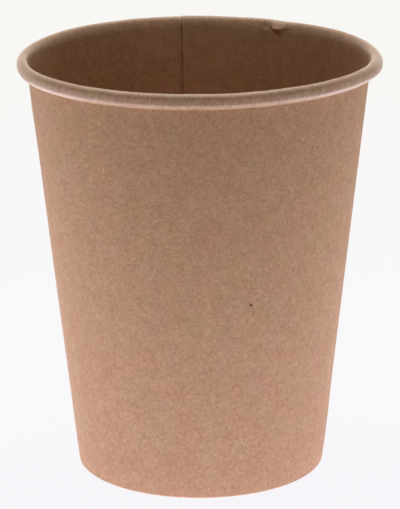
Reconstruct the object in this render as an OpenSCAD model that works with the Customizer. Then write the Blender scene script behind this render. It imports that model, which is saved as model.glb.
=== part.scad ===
// Single-wall paper cup made from two pieces of board.
// The sidewall is one fan-shaped blank, wrapped into a cone and overlapped at a sealed side seam.
// Its top edge is rolled outward into the rim, and its bottom edge is folded in and up as a hem.
// The base is a stamped disc whose skirt turns down and is gripped between the wall and that hem.
// The z axis is the cup's own axis, and z = 0 is the surface that it stands on.

/* [Cup] */
// Diameter over the rolled rim
rim_d = 80; // [74:0.5:90]
// Diameter over the wall where it meets the table
base_d = 55.5; // [50:0.5:62]
// Height from the table to the top of the rolled rim
cup_h = 94; // [80:0.5:115]

/* [Board] */
// Thickness of the sidewall's board
wall_board = 0.4; // [0.3:0.02:0.5]
// Thickness of the base's board
base_board = 0.35; // [0.25:0.02:0.45]

/* [Rolled rim] */
// Width of the roll, from the wall's inner face to its outermost point
roll_w = 2.55; // [2.3:0.05:3]
// Height of the roll
roll_h = 3.45; // [3.1:0.05:4.2]
// Gap between the wall and the edge that is tucked up behind it
tuck_gap = 0.08; // [0.05:0.01:0.15]
// Straight length of the tucked edge
tuck_len = 0.5; // [0.3:0.05:0.7]
// Outer radius of the curl at the very end of the tucked edge
tip_r = 0.55; // [0.5:0.01:0.6]

/* [Side seam] */
// Direction of the inner ply's cut edge, counted from the x axis
seam_angle = 95.7; // [0:0.1:360]
// Width of the overlap, measured at the rim
seam_lap = 7; // [5:0.5:10]
// How far the outer ply stands out over the inner one, after it was pressed
seam_rise = 0.3; // [0.2:0.02:0.36]
// Width of the slope where the wall climbs onto the inner ply
seam_slope_w = 1.2; // [0.8:0.1:2]
// Growth of the roll where both plies are rolled together
roll_rise = 0.12; // [0.06:0.02:0.2]

/* [Base] */
// Height of the base's underside above the table
base_lift = 7.5; // [6:0.5:12]
// Height of the ply that is folded up inside the base's skirt
hem_h = 6; // [4:0.25:6.5]
// Height of the skirt's cut edge above the table
skirt_lift = 0.7; // [0.6:0.05:1.5]
// Radius on the underside of the bend between disc and skirt
bend_r = 0.8; // [0.4:0.1:1.2]
// Radius of the two bends of the fold that stands on the table
fold_r = 0.34; // [0.25:0.01:0.4]
// Glue line on each side of the skirt
glue_gap = 0.03; // [0.02:0.01:0.06]

/* [Rim dent] */
// Direction of the dent, counted from the x axis
dent_angle = 60.5; // [0:0.5:360]
// Width of the dent along the rim
dent_w = 3.6; // [2:0.2:5]
// How far it pushes the roll's inner face towards the axis
dent_in = 0.8; // [0.4:0.1:1]
// How far it pushes the roll's top down
dent_sag = 0.3; // [0.2:0.05:0.5]

/* [Hidden] */

// Facets of a full turn about the cup's axis, and the step of the arcs in the section
$fn = 180;
arc_step = 15;

kraft_out = [0.70, 0.54, 0.43];
kraft_base = [0.66, 0.50, 0.39];

rim_r = rim_d / 2;
base_r = base_d / 2;
roll_r = roll_w / 2;
half_ply = wall_board / 2;

// Middle of the roll's upper bend, whose inner side is flush with the wall's inner face
roll_c = [rim_r - roll_r, cup_h - roll_r];

// Lean of the wall from upright: its outer face runs from the foot, tangent to the upper bend's hollow
foot_to_roll = roll_c - [base_r, 0];
taper = atan2(foot_to_roll[0], foot_to_roll[1]) - asin((roll_r - wall_board) / norm(foot_to_roll));
lean = 180 - taper;

// Unit vectors up along the wall and square out of it, in the (radius, height) plane
along = [sin(taper), cos(taper)];
outward = [cos(taper), -sin(taper)];

// Distance along the wall of a point (radius, height)
function run_of(p) = (p - [base_r, 0]) * along;
// Point (radius, height) at a distance along the wall and a distance out of its outer face
function wall_point(run, off) = [base_r, 0] + run * along + off * outward;
// Distance along the wall at which a line at a distance out of its outer face reaches a height
function run_at(z, off) = (z + off * sin(taper)) / cos(taper);
// Points of an arc from one angle to another
function arc(c, r, from, to) = let (n = ceil(abs(to - from) / arc_step))
    [for (i = [0:n]) let (a = from + (to - from) * i / n) c + r * [cos(a), sin(a)]];

// The folded hem, from its outer face inward: wall, glue, skirt, glue, hem
pocket_w = base_board + 2 * glue_gap;
hem_stack = 2 * wall_board + pocket_w;
skirt_off = -(wall_board + glue_gap);
pocket_run = run_at(wall_board, -wall_board);

// Middles of the fold's two bends
seat_out = wall_point(run_at(fold_r, -fold_r), -fold_r);
seat_in = wall_point(run_at(fold_r, fold_r - hem_stack), fold_r - hem_stack);

// The roll's lower bend stands on its lowest point, its outermost side and the tucked edge's gap
low_z = cup_h - roll_h;
low_r = ((rim_r - base_r) * cos(taper) - low_z * sin(taper) - tuck_gap) / (1 + cos(taper) + sin(taper));
low_c = [rim_r - low_r, low_z + low_r];
low_run = run_of(low_c);
tip_c = wall_point(low_run + tuck_len, tuck_gap + tip_r);
top_run = run_of(roll_c);

// Angles that the overlap and its slope take up about the axis, and the tilt of that slope
lap_a = seam_lap / rim_r * 180 / PI;
slope_a = seam_slope_w / rim_r * 180 / PI;
slope_tilt = atan(seam_rise / seam_slope_w);
reach = 2 * cup_h;

// Angle on the roll's lower bend, counted from outward, at which its growth over the overlap ends
growth_end = 225;

// Section of the blank after rolling and folding, as one strip of board.
// It goes down the hem, round the fold, up the wall, and over and round the roll to its tucked tip;
// from there it comes back along the strip's other face.
module blank_section() {
    polygon(concat(
        [wall_point(hem_h, -hem_stack)],
        arc(seat_in, fold_r, lean, 270),
        arc(seat_out, fold_r, 270, 360 - taper),
        arc(roll_c, roll_r - wall_board, lean, 0),
        arc(low_c, low_r - wall_board, 360, lean),
        arc(tip_c, tip_r - wall_board, lean, lean - 90),
        arc(tip_c, tip_r, lean - 90, lean),
        arc(low_c, low_r, lean, 360),
        arc(roll_c, roll_r, 0, lean),
        [wall_point(pocket_run, -wall_board), wall_point(pocket_run, -wall_board - pocket_w),
            wall_point(hem_h, -wall_board - pocket_w)]));
}

// Strip along the wall between two distances along it and two distances out of its outer face
module strip(run_0, run_1, off_0, off_1) {
    polygon([wall_point(run_0, off_0), wall_point(run_0, off_1),
        wall_point(run_1, off_1), wall_point(run_1, off_0)]);
}

// Sector of a turn about the cup's axis
module sector(from, size) {
    rotate([0, 0, from]) rotate_extrude(angle = size) children();
}

// Everything on the outer side of the seam's slope, whose plane leans out from a line on the wall
module slope_side(off) {
    rotate([0, 0, seam_angle + slope_a]) translate([base_r, 0, 0]) rotate([0, taper, 0])
        translate([off, 0, 0]) rotate([0, 0, slope_tilt]) translate([0, -reach, -reach])
            cube(2 * reach);
}

// Second ply of the overlap on the wall's outside, with the slope that leads up to it
module outer_lap() {
    difference() {
        sector(seam_angle - lap_a, lap_a + 2 * slope_a)
            strip(run_at(fold_r, 0), low_run + tuck_len / 2, -half_ply, seam_rise);
        slope_side(0);
    }
}

// Groove on the wall's inside, from the slope's start to the inner ply's cut edge
module inner_groove() {
    difference() {
        sector(seam_angle, 2 * slope_a)
            strip(skirt_lift, top_run - half_ply, -wall_board - pocket_w / 2, seam_rise - wall_board);
        slope_side(-wall_board);
    }
}

// Growth of the fold and of the roll where both plies go round them
module bend_laps() {
    sector(seam_angle - lap_a, lap_a) {
        strip(2 * fold_r, hem_h - half_ply, -hem_stack - seam_rise, half_ply - hem_stack);
        polygon(concat(
            arc(roll_c + roll_rise / 2 * (outward + along), roll_r + roll_rise / 2, lean, 0),
            arc(low_c + [roll_rise / 2, 0], low_r + roll_rise / 2, 360, growth_end),
            arc(low_c, low_r - half_ply, growth_end, 360),
            arc(roll_c, roll_r - half_ply, 0, lean)));
    }
}

// Dent: the roll's upper bend pushed in and down, fading out along the rim as a ball's cap does
module dent(shrink) {
    ball_r = (pow(dent_w / 2, 2) + pow(dent_in, 2)) / (2 * dent_in);
    bend_c = roll_c - [dent_in, dent_sag];
    face_r = wall_point(run_at(bend_c[1], -wall_board), -wall_board)[0];
    intersection() {
        rotate([0, 0, dent_angle]) translate([face_r + ball_r - dent_in, 0, bend_c[1]])
            sphere(r = ball_r - shrink);
        rotate_extrude() polygon(arc(bend_c, roll_r - shrink, 0, 360 - arc_step));
    }
}

module sidewall() {
    color(kraft_out) difference() {
        union() {
            rotate_extrude() blank_section();
            outer_lap();
            bend_laps();
            dent(0);
        }
        inner_groove();
        dent(wall_board);
    }
}

module base_disc() {
    top_z = base_lift + base_board;
    outer_r = bend_r + base_board;
    bend_z = top_z - outer_r;
    bend_off = skirt_off - outer_r;
    bend_c = wall_point(run_at(bend_z, bend_off), bend_off);
    skirt_run = run_at(skirt_lift, skirt_off);
    color(kraft_base) rotate_extrude() polygon(concat(
        [[0, base_lift], [0, top_z]],
        arc(bend_c, outer_r, 90, -taper),
        [wall_point(skirt_run, skirt_off), wall_point(skirt_run, skirt_off - base_board)],
        arc(bend_c, bend_r, -taper, 90)));
}

sidewall();
base_disc();
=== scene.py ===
"""Single-wall kraft paper cup: one rolled and lapped sidewall and one base gripped in its folded hem."""

from math import asin, atan2, cos, degrees, hypot, pi, radians, sin, tan

import bpy
import numpy as np
from mathutils import Matrix, Vector


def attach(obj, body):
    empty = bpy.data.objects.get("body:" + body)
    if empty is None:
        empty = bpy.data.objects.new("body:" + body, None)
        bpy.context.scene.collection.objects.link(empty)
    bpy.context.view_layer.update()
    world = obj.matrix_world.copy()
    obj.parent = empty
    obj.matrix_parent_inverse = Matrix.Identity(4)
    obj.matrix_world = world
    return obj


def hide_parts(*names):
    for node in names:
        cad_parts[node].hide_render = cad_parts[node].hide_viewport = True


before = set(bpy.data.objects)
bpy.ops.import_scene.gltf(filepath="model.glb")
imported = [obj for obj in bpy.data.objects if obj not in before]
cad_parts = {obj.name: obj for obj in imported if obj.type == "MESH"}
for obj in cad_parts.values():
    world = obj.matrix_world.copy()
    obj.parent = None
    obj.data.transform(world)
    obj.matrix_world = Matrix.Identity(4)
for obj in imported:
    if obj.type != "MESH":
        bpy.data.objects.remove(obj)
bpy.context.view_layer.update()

# Sizes of the cup in millimetres. They are the solids' own, but for the roll, whose inner edge flares and
# whose underside is slanted, and for the fold, whose bends are rounder
MM = 0.001
RIM_R = 40.0
BASE_R = 27.75
CUP_H = 94.0
WALL_BOARD = 0.4
BASE_BOARD = 0.35
ROLL_R = 2.55 / 2
ROLL_H = 3.5
TUCK_GAP = 0.08
TUCK_LEN = 0.5
TIP_R = 0.55
BASE_LIFT = 7.5
HEM_H = 6.0
SKIRT_LIFT = 0.7
DISC_BEND_R = 0.8
GLUE_GAP = 0.03
FOLD_R = 0.12
BASE_SAG = 0.28

# Roll: the slant of its underside, the corner before that slant and the tighter heel behind it, and how
# far under the middle of the upper bend the flare starts
UNDERSIDE = radians(48)
CORNER_R = 1.1
HEEL_R = 0.7
FLARE = 1.5
# Length of wall under the roll on which the rows stand closer together
CLOSE_ROWS = 5.0

# Side seam: where the inner ply ends, how wide the overlap and the slope beside it are, in degrees of turn
FULL_TURN = 360.0
DEGREE = radians(1)
SEAM_ANGLE = 95.7
LAP = degrees(7.0 / RIM_R)
SLOPE = degrees(1.45 / RIM_R)
LAP_GAP = 0.01
# Thickness of a ply of the overlap on the wall, in the fold and in the roll, where both are pressed
LAP_PLY = 0.345
FOLD_PLY = 0.27
ROLL_PLY = 0.19
# How far the stack shifts to stay off the table and the wall, and how far it pushes the roll's lower half out
FOLD_SHIFT = 0.15
ROLL_SHIFT = 0.09
LAP_PUSH = 0.36
# Groove beside the inner ply's cut edge: half width in degrees, depth, and depth where it runs out
GROOVE_WIDTH = 0.2
GROOVE_DEPTH = 0.12
GROOVE_END = 0.03

# Wear of a cut edge: how far in it goes, and how deep
WORN_WIDTH = 0.12
WORN_DEPTH = 0.1
# Crimp lines of the hem and of the base's skirt: how many go round the cup, and how deep they are
HEM_LINES = 80
HEM_LINE_DEPTH = 0.05
SKIRT_LINES = 60
SKIRT_LINE_DEPTH = 0.012

# Radius at which the blank is laid flat for its pattern, the angle past which an edge is crisp, and the
# columns of the base's full turn
FLAT_R = 34.0
CRISP_ANGLE = radians(50)
BASE_COLUMNS = 240

# The part of the cup at the rim in which its small waves and its sag rise to their full size
RIM_ZONE = 9
RIM_RISE = 7

# Dent in the rim: its direction, how far its tongue goes in and down, and the tongue's half widths in
# degrees, steep on its left and gentle on its right, as seen from the front
DENT_ANGLE = 61.7
TONGUE_IN = 0.66
TONGUE_DOWN = 0.66
TONGUE_LEFT = 1.3
TONGUE_RIGHT = 3.9
# Facet under the tongue: its depth down the wall, its size as a share of the tongue, its half widths in
# degrees, and how far its point lies to the right
FACET_DEPTH = 3.0
FACET_SHARE = 0.8
FACET_LEFT = 1.7
FACET_RIGHT = 3.4
FACET_SLANT = 2.6
# Crease at the tongue's left and sag of the rim to its right: depth, place from the dent and half width
CREASE = 0.15
CREASE_AT = 3.6
CREASE_WIDTH = 1.1
DENT_SAG = 0.2
SAG_AT = -4.5
SAG_WIDTH = 9.0

# Slow waves that keep the rim from being a true circle, in radius and in height:
# turns, size in millimetres, and direction
RIM_WAVES = ((1, 0.181, -51.0), (2, 0.213, 62.5), (3, 0.291, -26.2), (4, 0.065, 36.6))
LEVEL_WAVES = ((1, 0.234, 95.8), (2, 0.064, -31.4), (4, 0.046, -44.3))
# Quick small waves of the roll, in radius and in height
ROLL_WAVES = ((9, 0.02, 15.0), (14, 0.016, 80.0), (23, 0.012, 200.0), (37, 0.007, 300.0))
# Places where the wall stands out a little: direction, height, half width in degrees, half height, size
BULGES = ((-4.0, 8.0, 22.0, 7.0, 0.16), (180.0, 84.0, 22.0, 8.0, 0.2), (180.0, 5.0, 22.0, 9.0, 0.07),
          (182.0, 50.0, 26.0, 30.0, 0.09))
# Stretch where the roll is looser and so wider: direction, half width in degrees, size
LOOSE_ROLL = (-12.0, 14.0, 0.53)

# Lean of the wall from upright, and unit vectors up along it and square out of it
foot_to_roll = (RIM_R - ROLL_R - BASE_R, CUP_H - ROLL_R)
TAPER = atan2(*foot_to_roll) - asin((ROLL_R - WALL_BOARD) / hypot(*foot_to_roll))
ALONG = np.array([sin(TAPER), cos(TAPER)])
OUTWARD = np.array([cos(TAPER), -sin(TAPER)])
LEAN = pi - TAPER


def wall_at(run, off):
    """Point (radius, height) at a distance up along the wall's outer face and a distance out of that face."""
    return np.array([BASE_R, 0.0]) + run * ALONG + off * OUTWARD


def run_at(height, off):
    """Distance along the wall at which a line at that distance out of its outer face reaches a height."""
    return (height + off * sin(TAPER)) / cos(TAPER)


def run_of(point):
    """Distance along the wall of a point (radius, height)."""
    return float((np.asarray(point) - [BASE_R, 0.0]) @ ALONG)


def straight(start, end, normal, count):
    """Rows (radius, height, normal) at even steps from start to end, without the start itself."""
    t = np.linspace(0, 1, count + 1)[1:, None]
    return np.hstack([start + t * (end - start), np.broadcast_to(normal, (count, 2))])


def bend(centre, radius, first, last, count, side):
    """Rows on a circle's arc from one angle to another, without its first; each normal is side times the
    ray from the circle's centre."""
    angle = np.linspace(first, last, count + 1)[1:]
    ray = np.stack([np.cos(angle), np.sin(angle)], axis=1)
    return np.hstack([centre + radius * ray, side * ray])


def flare(start, apex, count):
    """Rows from the wall's inner face to the top of the roll, on a cubic curve that starts along the wall and
    ends level: the cubic sum of start, a point up the wall, a point beside the apex, and the apex, with
    the weights of the third power of (1 - t) + t."""
    pull = 0.6
    t = np.linspace(0, 1, count + 1)[1:, None]
    up = start + ALONG * (apex[1] - start[1]) * pull
    beside = apex - np.array([(apex[0] - start[0]) * pull, 0.0])
    point = (1 - t) ** 3 * start + 3 * t * (1 - t) ** 2 * up + 3 * t * t * (1 - t) * beside + t ** 3 * apex
    slope = (1 - t) ** 2 * (up - start) + 2 * t * (1 - t) * (beside - up) + t * t * (apex - beside)
    slope = slope / np.hypot(slope[:, :1], slope[:, 1:])
    return np.hstack([point, slope[:, 1:], -slope[:, :1]])


def smooth(x):
    """Smooth step from 0 to 1 as x goes from 0 to 1: 3x squared less 2x cubed."""
    x = np.clip(x, 0, 1)
    return x * x * (3 - 2 * x)


def path_length(rows):
    """Length along a path of rows, from its first point to each."""
    return np.concatenate([[0], np.cumsum(np.hypot(*np.diff(rows[:, :2], axis=0).T))])


# Middles of the roll's upper and lower bends and of the curl at its very end
roll_c = np.array([RIM_R - ROLL_R, CUP_H - ROLL_R])
low_z = CUP_H - ROLL_H
LOW_R = ((RIM_R - BASE_R) * cos(TAPER) - low_z * sin(TAPER) - TUCK_GAP) / (1 + cos(TAPER) + sin(TAPER))
low_c = np.array([RIM_R - LOW_R, low_z + LOW_R])
tip_c = wall_at(run_of(low_c) + TUCK_LEN, TUCK_GAP + TIP_R)

pocket_w = BASE_BOARD + 2 * GLUE_GAP
pocket_run = run_at(WALL_BOARD, -WALL_BOARD)
hem_face = -WALL_BOARD - pocket_w


def sidewall_rows():
    """The coated face of the blank as a path of rows, with normals into the board.

    It goes down the hem, round the two small bends of the fold, up the wall's inside, over and round
    the roll and up to the tucked tip. Also gives the path length at which each of these parts ends."""
    top = wall_at(run_of(roll_c) - FLARE, -WALL_BOARD)
    close = wall_at(run_of(roll_c) - CLOSE_ROWS, -WALL_BOARD)
    slant = np.array([cos(UNDERSIDE), -sin(UNDERSIDE)])
    heel_c = low_c - (LOW_R - HEEL_R) * np.array([cos(pi / 4), sin(pi / 4)])
    drop = (HEEL_R - CORNER_R - (RIM_R - CORNER_R - heel_c[0]) * slant[0]) / slant[1]
    corner = np.array([RIM_R - CORNER_R, heel_c[1] + drop])
    below_side = np.vstack([
        np.hstack([corner + [CORNER_R, 0.0], -1.0, 0.0])[None],
        bend(corner, CORNER_R, 2 * pi, 2 * pi - UNDERSIDE, 3, -1),
        np.hstack([heel_c + HEEL_R * slant, -slant])[None],
        bend(heel_c, HEEL_R, 2 * pi - UNDERSIDE, 1.25 * pi, 7, -1),
        bend(low_c, LOW_R, 1.25 * pi, LEAN, 5, -1),
    ])
    parts = [
        np.hstack([wall_at(HEM_H, hem_face), -OUTWARD])[None],
        straight(wall_at(HEM_H, hem_face), wall_at(pocket_run + FOLD_R, hem_face), -OUTWARD, 5),
        bend(wall_at(pocket_run + FOLD_R, hem_face + FOLD_R), FOLD_R, LEAN, 1.5 * pi, 4, 1),
        bend(wall_at(pocket_run + FOLD_R, -WALL_BOARD - FOLD_R), FOLD_R, 1.5 * pi, 2 * pi - TAPER, 4, 1),
        straight(wall_at(pocket_run + FOLD_R, -WALL_BOARD), close, OUTWARD, 16),
        straight(close, top, OUTWARD, 18),
        np.vstack([flare(top, roll_c + [0.0, ROLL_R], 12), bend(roll_c, ROLL_R, pi / 2, 0, 9, -1)]),
        below_side,
        straight(wall_at(run_of(low_c), TUCK_GAP), wall_at(run_of(tip_c), TUCK_GAP), OUTWARD, 2),
        bend(tip_c, TIP_R, LEAN, LEAN - pi / 2, 5, -1),
    ]
    rows = np.vstack(parts)
    ends = path_length(rows)[np.cumsum([len(p) for p in parts]) - 1]
    return rows, ends


def turn_steps():
    """Turn angles from the inner ply's cut edge, closer together at the cut edges, slopes and dent.

    The wanted step is small at those places and grows evenly away from them. The running sum of one over
    the step counts the columns, and the angles are where that sum reaches even numbers."""
    widest = 0.9
    at_edge = 0.07
    at_dent = 0.2
    dent_half = 5.5
    fine = np.linspace(0, FULL_TURN + LAP, 40001)
    from_dent = np.abs(fine - (SEAM_ANGLE - DENT_ANGLE))
    step = np.full_like(fine, widest)
    for edge in (0, LAP, FULL_TURN, FULL_TURN + LAP):
        step = np.minimum(step, at_edge + 0.22 * np.abs(fine - edge))
    step = np.minimum(step, at_dent + 0.12 * np.maximum(from_dent - dent_half, 0))
    total = np.concatenate([[0], np.cumsum(np.diff(fine) * 2 / (step[1:] + step[:-1]))])
    return np.interp(np.linspace(0, total[-1], int(total[-1]) + 1), total, fine)


def waves(angle, table, shift=0.0):
    """Sum of cosines of whole numbers of turns, each with its size and its direction."""
    return sum(size * np.cos(turns * (angle - radians(toward + shift))) for turns, size, toward in table)


def bell(distance, width):
    """Bell curve: e to the power of less the square of distance over width."""
    return np.exp(-((distance / width) ** 2))


def at_rim(height):
    """0 below the rim's zone, and a smooth rise to 1 in it."""
    return smooth((height - (CUP_H - RIM_ZONE)) / RIM_RISE)


def turn_from(angle, toward):
    """Degrees from a direction to an angle in radians, between -180 and 180."""
    return (np.degrees(angle) - toward + FULL_TURN / 2) % FULL_TURN - FULL_TURN / 2


def waved(radius, height, angle):
    """Moves points as the real cup is out of true: waves that fade to the foot, bulges and the loose roll."""
    share = np.clip(height / CUP_H, 0, 1.05) ** 2
    near_rim = at_rim(height)
    out = share * waves(angle, RIM_WAVES) + near_rim * waves(angle, ROLL_WAVES)
    for toward, level, wide, tall, size in BULGES:
        out = out + size * bell(turn_from(angle, toward), wide) * bell(height - level, tall)
    toward, wide, size = LOOSE_ROLL
    across = np.clip((radius - RIM_R + 2 * ROLL_R) / (2 * ROLL_R), 0, 1)
    out = out + size * across * near_rim * bell(turn_from(angle, toward), wide)
    up = share * waves(angle, LEVEL_WAVES) + near_rim * waves(angle, ROLL_WAVES, 7.0)
    return radius + out, height + up


def dented(radius, height, angle, past):
    """Moves points near the dent; past is the path length from the place where the roll's bend tightens.

    The tongue is a lobe of the roll's inner side pushed in and down, steep on its left and gentle on its
    right, with a crease on its left. Below its lip a triangular facet leans back to the wall and ends in
    a point."""
    lip = 0.35
    side = turn_from(angle, DENT_ANGLE)
    lobe = np.where(side > 0, bell(side, TONGUE_LEFT), bell(side, TONGUE_RIGHT))
    above = lobe * bell(np.maximum(past, 0), 1.3)
    depth = np.clip(-past / FACET_DEPTH, 0, 1)
    lower = side + FACET_SLANT * depth
    spread = np.where(lower > 0, FACET_LEFT, FACET_RIGHT) * (1 - 0.85 * depth)
    facet = FACET_SHARE * (1 - depth) * (1 - smooth((np.abs(lower) / spread - 0.45) / 0.75))
    below = facet * smooth(1 - depth) + (lobe - facet) * smooth(1 + past / lip)
    push = np.where(past > 0, above, below)
    crease = bell(side - CREASE_AT, CREASE_WIDTH) * bell(past + 0.2, 0.6)
    sag = DENT_SAG * at_rim(height) * bell(side - SAG_AT, SAG_WIDTH)
    down = TONGUE_DOWN * lobe * bell(past - 0.4, 1.0)
    return radius - TONGUE_IN * push + CREASE * crease, height - down - sag


def piece(name, vertices, faces, slots, materials, uv=None):
    """Adds a mesh object at the origin from points in millimetres, with smooth faces and crisp cut edges."""
    mesh = bpy.data.meshes.new(name)
    mesh.from_pydata(vertices * MM, [], faces)
    for material in materials:
        mesh.materials.append(material)
    mesh.polygons.foreach_set("material_index", slots)
    if uv is not None:
        corners = np.empty(len(mesh.loops), dtype=np.int32)
        mesh.loops.foreach_get("vertex_index", corners)
        layer = mesh.uv_layers.new(name="sheet")
        layer.data.foreach_set("uv", (uv[corners] * MM).ravel())
    mesh.shade_smooth()
    mesh.set_sharp_from_angle(angle=CRISP_ANGLE)
    mesh.validate()
    made = bpy.data.objects.new(name, mesh)
    bpy.context.scene.collection.objects.link(made)
    return made


def grid_faces(across, along):
    """Quads between neighbouring columns and rows of a grid whose points are numbered column by column."""
    first = (np.arange(across - 1)[:, None] * along + np.arange(along - 1)[None]).ravel()
    return np.stack([first, first + 1, first + along + 1, first + along], axis=1)


def board_faces(columns, along):
    """Faces of a sheet of board whose points are one grid for its coated face and the same grid again for
    its plain face, with its four cut edges closed. Also gives each face's material: coated, plain or cut."""
    coated = grid_faces(columns, along)
    half = columns * along
    plain = coated[:, ::-1] + half
    row_first = np.arange(columns - 1) * along
    row_last = row_first + along - 1
    side_first = np.arange(along - 1)
    side_last = side_first + (columns - 1) * along
    cut = np.vstack([
        np.stack([row_first, row_first + along, row_first + along + half, row_first + half], axis=1),
        np.stack([row_last + along, row_last, row_last + half, row_last + along + half], axis=1),
        np.stack([side_first + 1, side_first, side_first + half, side_first + 1 + half], axis=1),
        np.stack([side_last, side_last + 1, side_last + 1 + half, side_last + half], axis=1),
    ])
    faces = np.vstack([coated, plain, cut])
    slots = np.repeat([0, 1, 2], [len(coated), len(plain), len(cut)])
    return faces, slots


def sidewall_mesh(materials):
    """The blank as one sheet that goes round the cup once and overlaps its own start.

    Its two parameters are the path length along the rows and the turn about the axis. Each point is the
    coated face's row, moved along the row's normal by the ply's place in the overlap, and the other face
    is one board thickness further. Under the overlap both plies are pressed thinner, the inner one most at
    its cut edge, and on the roll, fold and hem the stack is shifted so that it stays off the table and
    the wall."""
    rows, ends = sidewall_rows()
    length = path_length(rows)
    hem, _, fold, _, wall, upper, lower, _, tip = ends[1:]
    knots = [0, hem - 0.2, hem, fold, fold + 0.15, wall, wall + 1.5, lower, tip]
    ply = np.interp(length, knots, [LAP_PLY, LAP_PLY, FOLD_PLY, FOLD_PLY, LAP_PLY, LAP_PLY] + 3 * [ROLL_PLY])
    shift = np.interp(length, knots, [0, 0, FOLD_SHIFT, FOLD_SHIFT, 0, 0] + 3 * [ROLL_SHIFT])
    push = LAP_PUSH * smooth((length - upper) / (lower - upper))
    turn = turn_steps()
    under = 1 - smooth((turn - LAP) / SLOPE)
    pressed = 1 - smooth((turn - LAP) / 0.5)
    outer = smooth((turn - FULL_TURN + SLOPE) / SLOPE)
    edge = np.minimum(turn, FULL_TURN + LAP - turn) * DEGREE * RIM_R
    wear_and_highlight = 1 - np.sqrt(np.clip(1 - (1 - np.clip(edge / WORN_WIDTH, 0, 1)) ** 2, 0, 1))
    inner_edge = np.where(turn < FULL_TURN / 2, turn, np.maximum(turn - FULL_TURN, 0))
    inner_ply = ply * (0.8 + 0.2 * smooth(inner_edge / 1.8))[:, None]
    groove = (bell(turn - FULL_TURN, GROOVE_WIDTH) * (turn < FULL_TURN + LAP / 2))[:, None]
    running_out = (GROOVE_DEPTH - GROOVE_END) * smooth((length - wall) / FLARE)
    groove = groove * (length < upper) * (GROOVE_DEPTH - running_out)
    thick = WALL_BOARD + (inner_ply - WALL_BOARD) * pressed[:, None] + (ply - WALL_BOARD) * outer[:, None]
    inset = -shift * under[:, None] + (inner_ply + LAP_GAP - shift) * outer[:, None]
    ribbed = (length < hem - 0.6) & (length > 0.3)
    rib = HEM_LINE_DEPTH * ribbed * (0.5 + 0.5 * np.cos(HEM_LINES * DEGREE * (SEAM_ANGLE - turn)))[:, None]
    lift = push * np.maximum(under, outer)[:, None]
    rounding = WORN_DEPTH * wear_and_highlight[:, None]
    near = inset + rounding + groove
    far = inset + thick - rib - rounding
    angle = np.broadcast_to(DEGREE * (SEAM_ANGLE - turn)[:, None], near.shape)
    faces_of_board = []
    for off in (near, far):
        radius = rows[:, 0] + off * rows[:, 2] + lift * OUTWARD[0]
        height = rows[:, 1] + off * rows[:, 3] + lift * OUTWARD[1]
        radius, height = waved(radius, height, angle)
        radius, height = dented(radius, height, angle, length - wall - FLARE)
        faces_of_board.append(np.stack([radius * np.cos(angle), radius * np.sin(angle), height], axis=2))
    vertices = np.concatenate([f.reshape(-1, 3) for f in faces_of_board])
    faces, slots = board_faces(*near.shape)
    sheet = np.stack(np.broadcast_arrays(DEGREE * turn[:, None] * FLAT_R, length[None]), axis=2)
    uv = np.tile(sheet.reshape(-1, 2), (2, 1))
    return piece("sidewall_board", vertices, faces, slots, materials, uv)


def base_mesh(materials):
    """The base as a turned sheet: a disc that sags a little, a bend, and a skirt down to its cut edge.

    Each face is a full turn of its own rows, which stand at even steps across the disc, and the middle
    of each face is one point. The sag is a parabola across the disc."""
    bend_out = DISC_BEND_R + BASE_BOARD
    top = BASE_LIFT + BASE_BOARD
    skirt = -WALL_BOARD - GLUE_GAP
    bend_z = top - bend_out
    centre = wall_at(run_at(bend_z, skirt - bend_out), skirt - bend_out)
    foot = wall_at(run_at(SKIRT_LIFT, skirt), skirt)
    side = wall_at(run_of(centre), skirt)
    rows = np.vstack([
        np.array([[0.0, top, 0.0, -1.0]]),
        straight(np.array([0.0, top]), np.array([centre[0], top]), np.array([0.0, -1.0]), 22),
        bend(centre, bend_out, pi / 2, -TAPER, 9, -1),
        straight(side, foot, -OUTWARD, 6),
    ])
    length = path_length(rows)
    angle = np.linspace(0, 2 * pi, BASE_COLUMNS + 1)[:-1]
    sag = BASE_SAG * np.clip(1 - (rows[:, 0] / centre[0]) ** 2, 0, 1)
    crimp = SKIRT_LINE_DEPTH * smooth((length - centre[0]) / 2) * np.cos(SKIRT_LINES * angle[:, None])
    points = []
    for off, kept_in in ((0.0, SKIRT_LINE_DEPTH), (BASE_BOARD, -SKIRT_LINE_DEPTH)):
        inward = np.where(length < centre[0], off, off + kept_in + crimp)
        radius = rows[:, 0] + inward * rows[:, 2]
        height = rows[:, 1] + inward * rows[:, 3] - sag
        ring_x = radius * np.cos(angle)[:, None]
        ring_y = radius * np.sin(angle)[:, None]
        points.append(np.stack([ring_x, ring_y, height], axis=2))
    across, along = len(angle), len(rows)
    ring = np.arange(across)
    after = (ring + 1) % across
    faces = []
    slots = []
    vertices = []
    count = along - 1
    for number, grid in enumerate(points):
        start = number * (across * count + 1)
        vertices.append(np.vstack([grid[0, :1], grid[:, 1:].reshape(-1, 3)]))
        body = (ring[:, None] * count + np.arange(count - 1)[None]).ravel()
        beside = (after[:, None] * count + np.arange(count - 1)[None]).ravel()
        quads = np.stack([body, body + 1, beside + 1, beside], axis=1) + start + 1
        fan = np.stack([np.zeros_like(ring), ring * count + 1, after * count + 1], axis=1) + start
        if number:
            quads = quads[:, ::-1]
            fan = fan[:, ::-1]
        faces += quads.tolist() + fan.tolist()
        slots += [number] * (len(quads) + len(fan))
    upper = ring * count + count
    lower = upper + across * count + 1
    rim = np.stack([upper, lower, np.roll(lower, -1), np.roll(upper, -1)], axis=1)
    faces += rim.tolist()
    slots += [2] * len(rim)
    return piece("base_board", np.vstack(vertices), faces, slots, materials)


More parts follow.
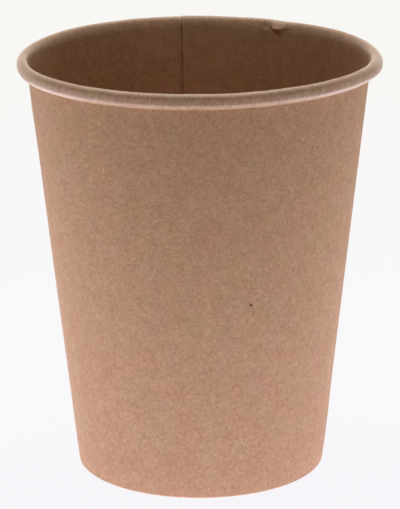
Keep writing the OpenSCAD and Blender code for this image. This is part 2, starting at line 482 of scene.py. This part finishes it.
class Socket:
    """One output of a node. Sums, differences and products of sockets and numbers add their Math nodes."""

    def __init__(self, tree, out):
        self.tree = tree
        self.out = out

    def __add__(self, other):
        return self.tree.maths("ADD", self, other)

    def __sub__(self, other):
        return self.tree.maths("SUBTRACT", self, other)

    def __rsub__(self, other):
        return self.tree.maths("SUBTRACT", other, self)

    def __mul__(self, other):
        return self.tree.maths("MULTIPLY", self, other)

    __radd__ = __add__
    __rmul__ = __mul__

    def beside(self, name):
        """Another output of the same node."""
        return Socket(self.tree, self.out.node.outputs[name])


class Tree:
    """The nodes of a material or of the world."""

    def __init__(self, owner):
        owner.use_nodes = True
        self.nodes = owner.node_tree.nodes
        self.links = owner.node_tree.links
        self.nodes.clear()

    def node(self, kind, settings=None, inputs=None, output=0):
        """Adds a node of a type: first its settings, then the values or links of its sockets."""
        made = self.nodes.new("ShaderNode" + kind)
        for key, value in (settings or {}).items():
            setattr(made, key, value)
        for key, value in (inputs or {}).items():
            if isinstance(value, Socket):
                self.links.new(value.out, made.inputs[key])
            else:
                made.inputs[key].default_value = value
        return Socket(self, made.outputs[output]) if made.outputs else None

    def maths(self, operation, first, second):
        """One Math node."""
        return self.node("Math", {"operation": operation}, {0: first, 1: second})

    def between(self, value, low, high):
        """0 where value is under low, 1 over high, and a smooth rise between them."""
        return self.node("MapRange", {"interpolation_type": "SMOOTHSTEP"},
                         {"Value": value, "From Min": low, "From Max": high})

    def mix(self, factor, first, second):
        """A Mix node on colours."""
        return self.node("Mix", {"data_type": "RGBA"}, {0: factor, 6: first, 7: second}, 2)

    def noise(self, place, scale, detail=2.0, rough=0.5):
        """Noise of one scale, in features for each unit of place."""
        return self.node("TexNoise", {},
                         {"Vector": place, "Scale": scale, "Detail": detail, "Roughness": rough})

    def seen(self):
        """1 for a ray from the camera or from a glossy reflection, and 0 for light on matt surfaces."""
        rays = self.node("LightPath")
        return self.maths("MAXIMUM", rays, rays.beside("Is Glossy Ray"))

    def moved(self, place, distance):
        """A vector moved by the same distance along each axis."""
        return self.node("VectorMath", {"operation": "ADD"}, {0: place, 1: (distance, distance, distance)})

    def scaled(self, place, scale, turn=0.0):
        """A vector turned about z and then scaled along each axis."""
        turned = self.node("VectorRotate", {"rotation_type": "Z_AXIS"}, {"Vector": place, "Angle": turn})
        return self.node("Mapping", {"vector_type": "POINT"}, {"Vector": turned, "Scale": scale})

    def in_millimetres(self, place):
        """A place in metres as millimetres."""
        return self.node("VectorMath", {"operation": "SCALE"}, {0: place, "Scale": 1000.0})


def linear(red, green, blue):
    """Linear colour of a screen colour from 0 to 255."""
    def one(value):
        value = value / 255
        return value / 12.92 if value <= 0.04045 else ((value + 0.055) / 1.055) ** 2.4
    return (one(red), one(green), one(blue), 1.0)


def tinted(colour, factors):
    """A colour with its red, green and blue multiplied by three factors."""
    return tuple(part * factor for part, factor in zip(colour, factors)) + (1.0,)


# Colours of the plain board, of the coated board and of a cut edge, and bark's share of the board's colour
KRAFT = linear(195, 150, 114)
KRAFT_COATED = linear(185, 141, 105)
# The cut edge's colour is also painted as the pale line beside the inner ply's cut edge: partly worn, paler
# fibre and partly a painted highlight
KRAFT_EDGE = linear(205, 172, 148)
BARK = (0.12, 0.06, 0.03)
# Finishes: strength of fibres and of clouds, roughness, clear coat and specular level
PLAIN = {"fibre": 1.5, "cloud": 0.3, "rough": 0.82, "coat": 0.0, "specular": 0.35}
COATED = {"fibre": 1.6, "cloud": 0.5, "rough": 0.58, "coat": 0.6, "specular": 0.5}
CUT = {"fibre": 0.7, "cloud": 0.2, "rough": 0.9, "coat": 0.0, "specular": 0.25}
# The four slants of the fibres: angle, how thin they are, and a shift that keeps them from repeating
SLANTS = ((0.15, 4.2, 0.0), (0.95, 3.7, 31.0), (1.75, 4.0, 57.0), (2.6, 4.5, 83.0))
# How much a lighter place gains in red, green and blue, so that dark pulp is also redder
PULP_GAIN = (0.78, 1.05, 1.29)
# Depth in metres of the board's grain
GRAIN = 0.000018


def fibres(tree, flat):
    """Sums of light and of dark fibres: at each slant, the high and the low parts of stretched noise."""
    light = 0.0
    dark = 0.0
    for slant, thin, seed in SLANTS:
        streak = tree.moved(tree.scaled(flat, (0.75, thin, 1.0), slant), seed)
        strands = tree.noise(streak, 1.0, 2.0, 0.55)
        light = tree.between(strands, 0.57, 0.70) + light
        dark = tree.between(strands, 0.43, 0.30) + dark
    return light, dark


def bark_dots(tree, solid, flocs, specks):
    """Dots at the middles of a few cells, picked by the cell's colour, and the specks that have their own
    place, each darkest inside a radius that the flocs make ragged. The darkest of them all counts."""
    bark = tree.node("TexVoronoi", {"feature": "F1"}, {"Vector": solid, "Scale": 0.42, "Randomness": 1.0})
    chance = tree.node("SeparateColor", {}, {0: bark.beside("Color")})
    dot = tree.between(bark + (1 - chance) * 3.0, 0.115, 0.05) * 0.6
    for spot, size, depth in specks:
        away = tree.node("VectorMath", {"operation": "DISTANCE"}, {0: solid, 1: spot}, 1)
        dot = tree.maths("MAXIMUM", dot, tree.between(away + flocs * size, size * 1.75, size * 1.15) * depth)
    return dot


def drifting(tree, colour, ruddy, golden):
    """The colour drifting between redder and greener, and half as much between greyer and yellower."""
    hue = tree.mix(tree.between(ruddy, 0.3, 0.7), tinted(colour, (1.04, 0.975, 0.985)),
                   tinted(colour, (0.96, 1.02, 0.975)))
    warmth = tree.mix(tree.between(golden, 0.3, 0.7), tinted(colour, (1.0, 0.99, 1.07)),
                      tinted(colour, (1.0, 1.005, 0.92)))
    return tree.mix(0.5, hue, warmth)


def roll_marks(tree, solid, flat, roll_start):
    """On the roll, streaks across it and stains, as a change of tone and of height, and on the upper wall
    the pale line beside the inner ply's cut edge, partly paler worn fibre and partly a painted highlight
    of the edge's rounded corner."""
    across = tree.node("SeparateXYZ", {}, {0: flat})
    along = across.beside("Y")
    on_roll = tree.between(along, roll_start, roll_start + 1.2)
    streaks = tree.noise(tree.scaled(flat, (3.2, 0.55, 1.0)), 1.0, 2.0, 0.6) - 0.5
    stains = tree.noise(tree.moved(solid, 43.0), 0.75, 3.0, 0.6) - 0.5
    tone = on_roll * (streaks * 0.8 + stains * 0.6)
    height = on_roll * streaks * 2.0
    # Pale line beside the inner ply's cut edge: partly worn, paler fibre and partly a painted highlight of
    # the edge's rounded corner
    wear_and_highlight = tree.between(across, 0.10, 0.19) * tree.between(across, 0.40, 0.29) * 0.6
    wear_and_highlight = wear_and_highlight * tree.between(along, roll_start - 8.0, roll_start - 3.5)
    return tone, height, wear_and_highlight


def kraft(name, colour, sheet, fibre, cloud, rough, coat, specular, specks=(), roll_start=None):
    """Unbleached kraft board. Two slow noises turn it redder or greener and yellower or greyer, clouds and
    flocs of pulp lighten and darken it, fibres lie over that, and rare dots are specks of bark. The face
    that is rolled into the rim has the roll's marks as well, from the path length where the roll starts.
    The sheet's pattern is laid on the flat blank, and the other boards' on the piece's own place."""
    material = bpy.data.materials.new(name)
    tree = Tree(material)
    solid = tree.in_millimetres(tree.node("TexCoord", output=3))
    flat = solid
    if sheet:
        flat = tree.in_millimetres(tree.node("UVMap", {"uv_map": "sheet"}))
    ruddy = tree.noise(solid, 0.17)
    golden = tree.noise(tree.moved(solid, 71.0), 0.15)
    clouds = tree.noise(solid, 0.33)
    flocs = tree.noise(solid, 1.3, 3.0, 0.6)
    light, dark = fibres(tree, flat)
    dot = bark_dots(tree, solid, flocs, specks)
    base = drifting(tree, colour, ruddy, golden)
    tone = (clouds - 0.5) * cloud + ((flocs - 0.5) * 0.36 + light * 0.115 - dark * 0.13) * fibre
    height = flocs * 0.8 + clouds * 0.4 + light * 0.35 - dark * 0.35
    wear_and_highlight = 0.0
    if roll_start:
        marks, ridges, wear_and_highlight = roll_marks(tree, solid, flat, roll_start)
        tone = tone + marks
        height = height + ridges
    gain = tree.node("VectorMath", {"operation": "SCALE"}, {0: PULP_GAIN, "Scale": tone})
    base = tree.node("VectorMath", {"operation": "MULTIPLY_ADD"}, {0: base, 1: gain, 2: base})
    # Paints that pale line in the cut edge's colour: partly worn fibre, partly a painted highlight
    base = tree.mix(wear_and_highlight, base, KRAFT_EDGE)
    base = tree.mix(dot, base, tinted(colour, BARK))
    bump = tree.node("Bump", {}, {"Strength": 1.0, "Distance": GRAIN, "Height": height})
    shader = tree.node("BsdfPrincipled", {}, {
        "Base Color": base,
        "Roughness": rough + (flocs - 0.5) * 0.25,
        "Normal": bump,
        "IOR": 1.45,
        "Specular IOR Level": specular,
        "Coat Weight": coat,
        "Coat Roughness": 0.3,
    })
    tree.node("OutputMaterial", {}, {"Surface": shader})
    return material


def on_wall(toward, level):
    """Place in millimetres of a point on the wall's outer face."""
    angle = radians(toward)
    radius, height = waved(BASE_R + level * tan(TAPER), level, angle)
    return (float(radius) * cos(angle), float(radius) * sin(angle), float(height))


# Specks of bark that can be told apart: direction, height, size in millimetres, and how dark
BARK_SPECKS = (
    (289.5, 45.65, 0.3, 1.0),
    (289.04, 46.0, 0.13, 0.8),
    (310.98, 79.4, 0.22, 0.55),
    (310.7, 79.0, 0.16, 0.45),
    (225.3, 75.1, 0.19, 0.45),
    (262.1, 26.25, 0.21, 0.5),
    (285.5, 19.8, 0.17, 0.4),
    (294.8, 47.2, 0.17, 0.4),
    (238.85, 41.5, 0.17, 0.38),
    (263.0, 35.4, 0.16, 0.36),
    (279.5, 87.2, 0.16, 0.35),
    (222.9, 55.0, 0.16, 0.35),
)
SPECKS = [(on_wall(toward, level), size, depth) for toward, level, size, depth in BARK_SPECKS]

# Path length at which the wall ends and the roll starts
_, part_ends = sidewall_rows()
ROLL_START = float(part_ends[5])

outside = kraft("kraft_outside", KRAFT, True, **PLAIN, specks=SPECKS)
coated = kraft("kraft_coated", KRAFT_COATED, True, **COATED, roll_start=ROLL_START)
cut_edge = kraft("kraft_cut_edge", KRAFT_EDGE, True, **CUT)
disc_coated = kraft("kraft_disc_coated", KRAFT_COATED, False, **COATED)
disc_plain = kraft("kraft_disc_plain", KRAFT, False, **PLAIN)
disc_edge = kraft("kraft_disc_edge", KRAFT_EDGE, False, **CUT)

wall = sidewall_mesh([coated, outside, cut_edge])
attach(wall, "root")
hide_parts("sidewall")

base = base_mesh([disc_coated, disc_plain, disc_edge])
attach(base, "root")
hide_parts("base_disc")

# Pale seamless floor, which is all that the camera sees behind the cup. It shows one colour near the cup
# and another far behind it to the camera and in reflections, and is matt to all other light
FLOOR_HALF = 3.0
floor_mesh = bpy.data.meshes.new("floor")
corners = [(-FLOOR_HALF, -FLOOR_HALF, 0), (FLOOR_HALF, -FLOOR_HALF, 0),
           (FLOOR_HALF, FLOOR_HALF, 0), (-FLOOR_HALF, FLOOR_HALF, 0)]
floor_mesh.from_pydata(corners, [], [(0, 1, 2, 3)])
floor = bpy.data.objects.new("floor", floor_mesh)
bpy.context.scene.collection.objects.link(floor)

FLOOR_NEAR = linear(252, 251, 255)
FLOOR_FAR = linear(252, 251, 247)
FLOOR_GLOW = 0.93
pale = bpy.data.materials.new("pale_floor")
tree = Tree(pale)
depth = tree.node("SeparateXYZ", {}, {0: tree.node("TexCoord", output=3)}, 1)
shown = tree.mix(tree.between(depth, -0.05, 0.55), FLOOR_NEAR, FLOOR_FAR)
matt = tree.node("BsdfDiffuse", {}, {"Color": (0.86, 0.86, 0.86, 1.0)})
glow = tree.node("Emission", {}, {"Color": shown, "Strength": 1.0})
seen = tree.seen() * FLOOR_GLOW
tree.node("OutputMaterial", {}, {"Surface": tree.node("MixShader", {}, {0: seen, 1: matt, 2: glow})})
floor_mesh.materials.append(pale)

# The world: a white surround to the camera and in reflections, and dark to everything else, so that only
# the lamps light matt surfaces
world = bpy.data.worlds.new("studio")
bpy.context.scene.world = world
tree = Tree(world)
unlit = tree.node("Background", {}, {"Color": (1.0, 1.0, 1.0, 1.0), "Strength": 0.0})
white = tree.node("Background", {}, {"Color": FLOOR_FAR, "Strength": 1.0})
tree.node("OutputWorld", {}, {"Surface": tree.node("MixShader", {}, {0: tree.seen(), 1: unlit, 2: white})})


def softbox(name, place, aim, width, height, watts, tint):
    """A rectangular soft lamp at a place, turned to face a point, and not itself seen by the camera."""
    lamp = bpy.data.lights.new(name, "AREA")
    lamp.shape = "RECTANGLE"
    lamp.size = width
    lamp.size_y = height
    lamp.energy = watts
    lamp.color = tint
    made = bpy.data.objects.new(name, lamp)
    made.location = place
    made.rotation_euler = (Vector(aim) - Vector(place)).to_track_quat("-Z", "Y").to_euler()
    made.visible_camera = False
    bpy.context.scene.collection.objects.link(made)


# Lamps, in metres and watts: soft ones above and behind, one at the left, and three light tables that lie
# on the floor and shine up
CUP_FOOT = (0.0, 0.0, 0.0)
CUP_MIDDLE = (0.0, 0.0, 0.04)
CUP_HALF = (0.0, 0.0, 0.05)
WARM = (1.0, 1.0, 0.93)
COOL = (1.0, 1.02, 1.2)
COOLER = (1.0, 1.03, 1.32)
softbox("top_softbox", (0.0, 0.0, 0.8), CUP_FOOT, 0.6, 0.6, 2.22, WARM)
softbox("top_back_softbox", (0.0, 0.35, 0.75), CUP_HALF, 0.8, 0.4, 2.47, WARM)
softbox("back_strip", (0.0, 0.8, 0.14), CUP_MIDDLE, 1.4, 0.22, 0.63, WARM)
softbox("left_side", (-0.2, 0.0, 0.05), CUP_HALF, 0.2, 0.08, 0.02, COOL)
softbox("light_table_middle", (0.0, -0.02, 0.00003), (0.0, -0.02, 1.0), 0.24, 0.2, 0.205, COOLER)
softbox("light_table_left", (-0.17, 0.0, 0.00006), (-0.17, 0.0, 1.0), 0.16, 0.3, 0.2, COOL)
softbox("light_table_right", (0.17, 0.0, 0.00006), (0.17, 0.0, 1.0), 0.16, 0.3, 0.165, COOL)

# The camera, fitted to the cup's edges in the photograph: place in metres, tilts, and focal length in
# pixels of a picture of that height
EYE = (0.0000476, -0.5739456, 0.2198696)
PITCH = radians(16.698)
ROLL = radians(-0.3613)
FOCAL_PIXELS = 2668.0
PHOTO_HEIGHT = 509
right = Vector((1, 0, 0))
ahead = Vector((0, cos(PITCH), -sin(PITCH)))
up = right.cross(ahead)
across = cos(ROLL) * right + sin(ROLL) * up
upward = cos(ROLL) * up - sin(ROLL) * right
camera = bpy.data.cameras.new("camera")
camera.sensor_fit = "VERTICAL"
camera.sensor_height = 36.0
camera.lens = FOCAL_PIXELS / PHOTO_HEIGHT * camera.sensor_height
eye = bpy.data.objects.new("camera", camera)
turned = Matrix((across, upward, -ahead)).transposed().to_4x4()
eye.matrix_world = Matrix.Translation(EYE) @ turned
bpy.context.scene.collection.objects.link(eye)
bpy.context.scene.camera = eye
bpy.context.scene.view_settings.view_transform = "Standard"
